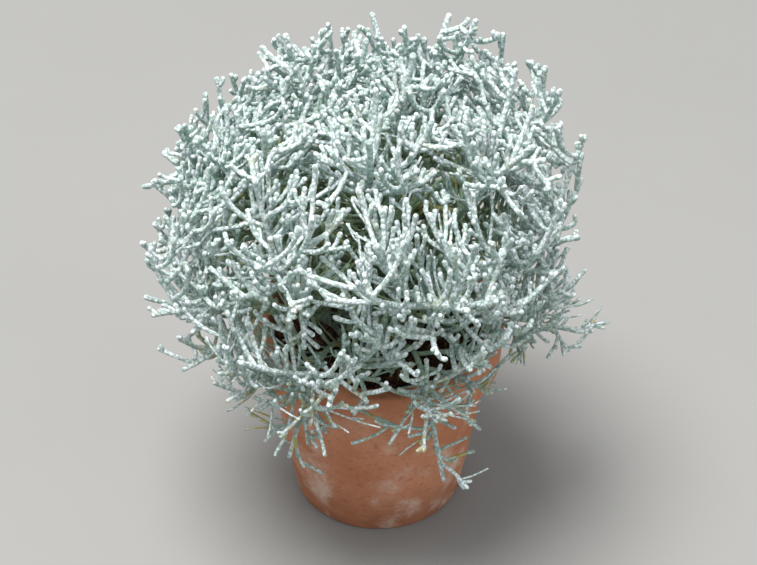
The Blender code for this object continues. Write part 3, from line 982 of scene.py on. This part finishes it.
def colour_property(name, description, default):
    return FloatVectorProperty(
        name=name, description=description, default=default, subtype="COLOR", size=3, min=0.0, max=1.0
    )


def value_property(name, description, default, **more):
    return FloatProperty(name=name, description=description, default=default, **more)


def length_property(name, description, default):
    return value_property(name, description, default, unit="LENGTH", precision=4)


def count_property(name, description, default, least, most):
    return IntProperty(name=name, description=description, default=default, min=least, max=most)


class PotSettings(bpy.types.PropertyGroup):
    """The rim and the finish of the clay pot."""

    segments: count_property("Segments", "Faces round the pot", 128, 24, 256)
    rim_depth: length_property("Rim depth", "How far down the rim band reaches", RIM_DEPTH)
    unevenness: length_property("Unevenness", "How far the turned clay swells and sinks", 0.22 * MM)
    clay_colour: colour_property("Clay", "Colour of the fired clay", (0.46, 0.175, 0.085))
    pale_colour: colour_property("Pale clay", "Colour of its paler clouds", (0.56, 0.25, 0.14))
    dark_colour: colour_property("Dark clay", "Colour of its specks and damp foot", (0.24, 0.085, 0.045))
    bloom_colour: colour_property("Lime bloom", "Colour of the lime that water leaves", (0.72, 0.6, 0.5))


class SoilSettings(bpy.types.PropertyGroup):
    """The soil, its crumbs and its dry roots."""

    rings: count_property("Rings", "Rings of faces on the soil's surface", 56, 8, 120)
    segments: count_property("Segments", "Faces round the soil", 160, 24, 256)
    grain: length_property("Grain", "Height of the crumbly grain", 1.3 * MM)
    crumbs: count_property("Crumbs", "Number of loose crumbs", 950, 0, 3000)
    largest: length_property("Largest crumb", "Half width of the largest crumb", 2.6 * MM)
    roots: count_property("Roots", "Number of loose dry roots", 46, 0, 200)
    soil_colour: colour_property("Soil", "Colour of the moist soil", (0.05, 0.026, 0.016))
    red_colour: colour_property("Red soil", "Colour of its redder crumbs", (0.15, 0.064, 0.036))
    dry_colour: colour_property("Dry soil", "Colour of its dry specks", (0.23, 0.135, 0.085))
    # Painted shade in the hollows between the crumbs.
    hollow_shade_colour: colour_property("Hollows", "Colour between the crumbs", (0.012, 0.006, 0.004))
    root_colour: colour_property("Dry root", "Colour of the dry roots", (0.46, 0.31, 0.15))


class BushSettings(bpy.types.PropertyGroup):
    """The form and the felt of the shoots."""

    resolution: count_property("Roundness", "Faces round a shoot: 1 gives six of them", 1, 0, 4)
    thickness: value_property("Thickness", "Share of the shoots' real thickness", 1.0, min=0.5, max=1.2)
    knuckles: value_property("Knuckles", "Their height, in half thicknesses", 0.11, min=0.0, max=0.3)
    felt_colour: colour_property("Felt", "Colour of the bleached felt outside", (0.82, 0.89, 0.89))
    cloud_colour: colour_property("Clouded felt", "Colour of its lilac clouds", (0.79, 0.82, 0.86))
    # Painted shade: the colour of down-facing faces and mid-depth twigs; it also gives the random mottling.
    shade_colour: colour_property("Shaded felt", "Colour of the undersides", (0.49, 0.69, 0.62))
    # Partly painted shade: the real green of the inner twigs, darkened as painted shade deep in the bush.
    inner_green_and_shade_colour: colour_property("Inner twigs", "Colour deep in the bush", (0.28, 0.38, 0.22))
    old_colour: colour_property("Old stems", "Colour of the old stems at the foot", (0.22, 0.23, 0.11))
    # Also used for the painted shade low in the bush near the crown.
    crevice_and_foot_shade_colour: colour_property("Crevices", "Colour between the scale leaves", (0.2, 0.32, 0.25))
    spot_colour: colour_property("Withered spots", "Colour of the withered spots", (0.5, 0.4, 0.07))


class StudioSettings(bpy.types.PropertyGroup):
    """The floor, the light and the camera."""

    floor_colour: colour_property("Floor", "Colour of the plain floor", (0.29, 0.282, 0.268))
    air_colour: colour_property("Air", "Colour of the light from all round", (0.88, 0.94, 1.0))
    air_strength: value_property("Air strength", "Strength of the light all round", 0.6, min=0.0)
    key_power: value_property("Key light", "Power of the large light", 122.0, unit="POWER")
    fill_power: value_property("Fill light", "Power of the weak light", 4.5, unit="POWER")
    elevation: value_property("Elevation", "Camera over the horizon", math.radians(38), subtype="ANGLE")
    distance: length_property("Distance", "From the camera to the bush", 0.82)
    lens: value_property("Lens", "Focal length in millimetres", 83.0, unit="CAMERA")


class CushionBushSettings(bpy.types.PropertyGroup):
    """All the settings of the potted cushion bush."""

    pot: PointerProperty(type=PotSettings)
    soil: PointerProperty(type=SoilSettings)
    bush: PointerProperty(type=BushSettings)
    studio: PointerProperty(type=StudioSettings)


class CUSHION_BUSH_OT_clay_pot(bpy.types.Operator):
    """Turn the clay pot"""

    bl_idname = "cushion_bush.clay_pot"
    bl_label = "Clay Pot"

    def execute(self, context):
        settings = context.scene.cushion_bush.pot
        top, under = POT_HEIGHT, POT_HEIGHT - settings.rim_depth
        inner = body_radius(top) - WALL
        worn = EDGE / 2
        rim_foot = RIM_RADIUS - RIM_TAPER
        profile = [
            *rounded((inner + EDGE, top - EDGE), EDGE, 180, 90),
            *rounded((RIM_RADIUS - EDGE, top - EDGE), EDGE, 90, 0),
            *straight((RIM_RADIUS, top - EDGE - 3 * MM), (rim_foot, under + worn), 4),
            *rounded((rim_foot - worn, under + worn), worn, 0, -90, 3),
            (body_radius(under) + 0.5 * MM, under),
            (body_radius(under), under - 0.5 * MM),
            *straight((body_radius(under - 4 * MM), under - 4 * MM), (body_radius(EDGE), EDGE), 12),
            *rounded((body_radius(EDGE) - EDGE, EDGE), EDGE, 0, -90, 4),
            (DRAIN_RADIUS + worn, 0.0),
            (DRAIN_RADIUS, worn),
            (DRAIN_RADIUS, FLOOR - worn),
            (DRAIN_RADIUS + worn, FLOOR),
            *rounded((body_radius(FLOOR) - WALL - EDGE, FLOOR + EDGE), EDGE, -90, 0, 3),
            *straight((body_radius(FLOOR + 4 * MM) - WALL, FLOOR + 4 * MM), (inner, top - EDGE), 8),
        ]
        mesh = mesh_from(turned(profile, settings.segments, closed=True), "clay_pot")
        for vertex in mesh.vertices:
            swell = settings.unevenness * min(1.0, vertex.co.z / (10 * MM))
            vertex.co += vertex.normal * swell * noise.noise(vertex.co / POT_WAVE_WIDTH)
        mesh.set_sharp_from_angle(angle=math.radians(50))
        finish_piece(mesh, clay_material(settings), "clay", "pot")
        return {"FINISHED"}


class CUSHION_BUSH_OT_potting_soil(bpy.types.Operator):
    """Fill the pot with soil"""

    bl_idname = "cushion_bush.potting_soil"
    bl_label = "Potting Soil"

    def execute(self, context):
        settings = context.scene.cushion_bush.soil
        base = FLOOR + SOIL_GAP
        edge_level = SOIL_LEVEL - SOIL_EDGE_DROP
        edge = body_radius(edge_level) - WALL - SOIL_GAP
        top = [(edge * (1 - ring / settings.rings), edge_level) for ring in range(settings.rings)]
        profile = [(0.0, base), (body_radius(base) - WALL - SOIL_GAP, base), *top, (0.0, edge_level)]
        bm = turned(profile, settings.segments, closed=False)
        for vertex in bm.verts:
            if vertex.co.z > base + MM:
                vertex.co.z = soil_height(vertex.co.x, vertex.co.y, settings.grain)
        mesh = mesh_from(bm, "potting_soil")
        finish_piece(mesh, soil_material("potting soil", settings), "soil", "soil")
        return {"FINISHED"}


class CUSHION_BUSH_OT_soil_crumbs(bpy.types.Operator):
    """Scatter loose crumbs over the soil"""

    bl_idname = "cushion_bush.soil_crumbs"
    bl_label = "Soil Crumbs"

    def execute(self, context):
        settings = context.scene.cushion_bush.soil
        rng = random.Random(SEED)
        reach = body_radius(SOIL_LEVEL) - WALL - 1.5 * MM
        bm = bmesh.new()
        for _ in range(settings.crumbs):
            out, azimuth = reach * math.sqrt(rng.random()), rng.uniform(0, 2 * math.pi)
            half = SMALLEST_CRUMB + (settings.largest - SMALLEST_CRUMB) * rng.random() ** CRUMB_RARITY
            x, y, _ = min(out, reach - half) * outward(azimuth)
            z = soil_height(x, y, settings.grain) + half * rng.uniform(-0.1, 0.4)
            middle = Vector((x, y, z))
            turn = Matrix.Rotation(rng.uniform(0, 6.28), 4, (rng.random(), rng.random(), 1.0))
            squeeze = Matrix.Diagonal((1.0, rng.uniform(0.65, 1.0), rng.uniform(0.6, 0.9), 1.0))
            made = bmesh.ops.create_icosphere(
                bm, subdivisions=2 if half > ROUNDER_CRUMB else 1, radius=half,
                matrix=Matrix.Translation(middle) @ turn @ squeeze,
            )
            for vertex in made["verts"]:
                swell = 1 + 0.3 * noise.noise(vertex.co / (0.9 * half))
                vertex.co = middle + (vertex.co - middle) * swell
        mesh = mesh_from(bm, "soil_crumbs")
        finish_piece(mesh, soil_material("soil crumb", settings), "soil", "soil")
        return {"FINISHED"}


class CUSHION_BUSH_OT_dry_roots(bpy.types.Operator):
    """Lay thin dry roots over the soil"""

    bl_idname = "cushion_bush.dry_roots"
    bl_label = "Dry Roots"

    def execute(self, context):
        settings = context.scene.cushion_bush.soil
        rng = random.Random(SEED + 1)
        reach = body_radius(SOIL_LEVEL) - WALL - 4 * MM
        lines = []
        while len(lines) < settings.roots:
            point = reach * math.sqrt(rng.random()) * outward(rng.uniform(0, 2 * math.pi))
            heading = rng.uniform(0, 2 * math.pi)
            bend = rng.uniform(-0.16, 0.16)
            points = []
            for _ in range(rng.randint(6, 16)):
                point[2] = soil_height(*point[:2], settings.grain) + 0.25 * MM + rng.uniform(0, 0.5) * MM
                points.append(point)
                heading += bend + rng.uniform(-0.12, 0.12)
                point = point + ROOT_STEP * outward(heading)
            if max(math.hypot(x, y) for x, y, _ in points) > reach:
                continue
            thick = rng.uniform(0.14, 0.3) * MM
            lines.append((np.array(points), np.linspace(thick, thick * 0.45, len(points))))
        bm = bmesh.new()
        add_tubes(bm, lines, 1)
        finish_piece(mesh_from(bm, "dry_roots"), root_material(settings), "soil", "soil")
        return {"FINISHED"}


class CUSHION_BUSH_OT_felted_stems(bpy.types.Operator):
    """Grow the felted stems with all their branches, twigs and stubs"""

    bl_idname = "cushion_bush.felted_stems"
    bl_label = "Felted Stems"

    def execute(self, context):
        settings = context.scene.cushion_bush.bush
        shoots = grow_bush().shoots
        round_off(shoots)
        rng = random.Random(SEED + 2)
        # Blender's noise vectors take their seed from the clock unless it is set
        noise.seed_set(SEED)
        for fine in (ARMS, INNER_TWIGS, TIP_BUDS, STUBS, INNER_STUBS):
            shoots += grow_fine(shoots, rng, fine)
        felt = felt_material(settings)
        for stem in range(STEMS + len(SPRIGS)):
            own = [shoot for shoot in shoots if shoot.stem == stem]
            bm = bmesh.new()
            for thin, resolution in ((False, settings.resolution), (True, 0)):
                alike = [shoot for shoot in own if (shoot.order in THIN_ORDERS) == thin]
                add_tubes(bm, [rings(shoot, rng, settings) for shoot in alike], resolution)
            mesh = mesh_from(bm, f"felted_stem_{stem + 1:02d}")
            finish_piece(mesh, felt, "felted_twig", f"leafy_stem_{stem + 1:02d}")
        return {"FINISHED"}


class CUSHION_BUSH_OT_studio(bpy.types.Operator):
    """Set up the plain floor, the soft light and the camera"""

    bl_idname = "cushion_bush.studio"
    bl_label = "Studio"

    def execute(self, context):
        settings = context.scene.cushion_bush.studio
        scene = context.scene
        bm = bmesh.new()
        bmesh.ops.create_circle(bm, cap_ends=True, segments=96, radius=FLOOR_RADIUS)
        floor = new_object("studio_floor", mesh_from(bm, "studio_floor", smooth=False))
        floor.data.materials.append(floor_material(settings))
        floor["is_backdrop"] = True

        world = bpy.data.worlds.new("soft air")
        world.use_nodes = True
        background = world.node_tree.nodes["Background"]
        background.inputs["Color"].default_value = (*settings.air_colour, 1.0)
        background.inputs["Strength"].default_value = settings.air_strength
        scene.world = world

        middle = Vector((0.0, 0.0, 0.5 * (CAD_BOX[0].z + CAD_BOX[1].z)))
        for name, power, (size, spot) in (
            ("key light", settings.key_power, KEY_LIGHT), ("fill light", settings.fill_power, FILL_LIGHT),
        ):
            data = bpy.data.lights.new(name, "AREA")
            data.shape = "DISK"
            data.size = size
            data.energy = power
            aim_at(new_object(name, data), Vector(spot), middle)

        data = bpy.data.cameras.new("camera")
        data.lens = settings.lens
        scene.camera = new_object("camera", data)
        aim = Vector((0.0, 0.0, AIM_HEIGHT))
        back = Vector((0.0, -math.cos(settings.elevation), math.sin(settings.elevation)))
        aim_at(scene.camera, aim + back * settings.distance, aim)
        scene.view_settings.view_transform = "Standard"
        return {"FINISHED"}


class CUSHION_BUSH_PT_panel(bpy.types.Panel):
    """The settings and the steps of the potted cushion bush"""

    bl_idname = "CUSHION_BUSH_PT_panel"
    bl_label = "Potted Cushion Bush"
    bl_space_type = "VIEW_3D"
    bl_region_type = "UI"
    bl_category = "Cushion Bush"

    def draw(self, context):
        settings = context.scene.cushion_bush
        for title in ("pot", "soil", "bush", "studio"):
            group = getattr(settings, title)
            box = self.layout.box()
            box.label(text=title.capitalize())
            for name in group.__annotations__:
                box.prop(group, name)
        for operator in OPERATORS:
            self.layout.operator(operator.bl_idname)


OPERATORS = (
    CUSHION_BUSH_OT_clay_pot,
    CUSHION_BUSH_OT_potting_soil,
    CUSHION_BUSH_OT_soil_crumbs,
    CUSHION_BUSH_OT_dry_roots,
    CUSHION_BUSH_OT_felted_stems,
    CUSHION_BUSH_OT_studio,
)
GROUPS = (PotSettings, SoilSettings, BushSettings, StudioSettings, CushionBushSettings)


def register():
    for cls in (*GROUPS, *OPERATORS, CUSHION_BUSH_PT_panel):
        bpy.utils.register_class(cls)
    bpy.types.Scene.cushion_bush = PointerProperty(type=CushionBushSettings)


def unregister():
    del bpy.types.Scene.cushion_bush
    for cls in reversed((*GROUPS, *OPERATORS, CUSHION_BUSH_PT_panel)):
        bpy.utils.unregister_class(cls)


def main():
    register()
    bpy.ops.cushion_bush.clay_pot()
    bpy.ops.cushion_bush.potting_soil()
    bpy.ops.cushion_bush.soil_crumbs()
    bpy.ops.cushion_bush.dry_roots()
    bpy.ops.cushion_bush.felted_stems()
    bpy.ops.cushion_bush.studio()
    boxes = {"cad_box": CAD_BOX, "visual_box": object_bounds()}
    {name: [list(corner) for corner in box] for name, box in boxes.items()}


if __name__ == "__main__":
    main()
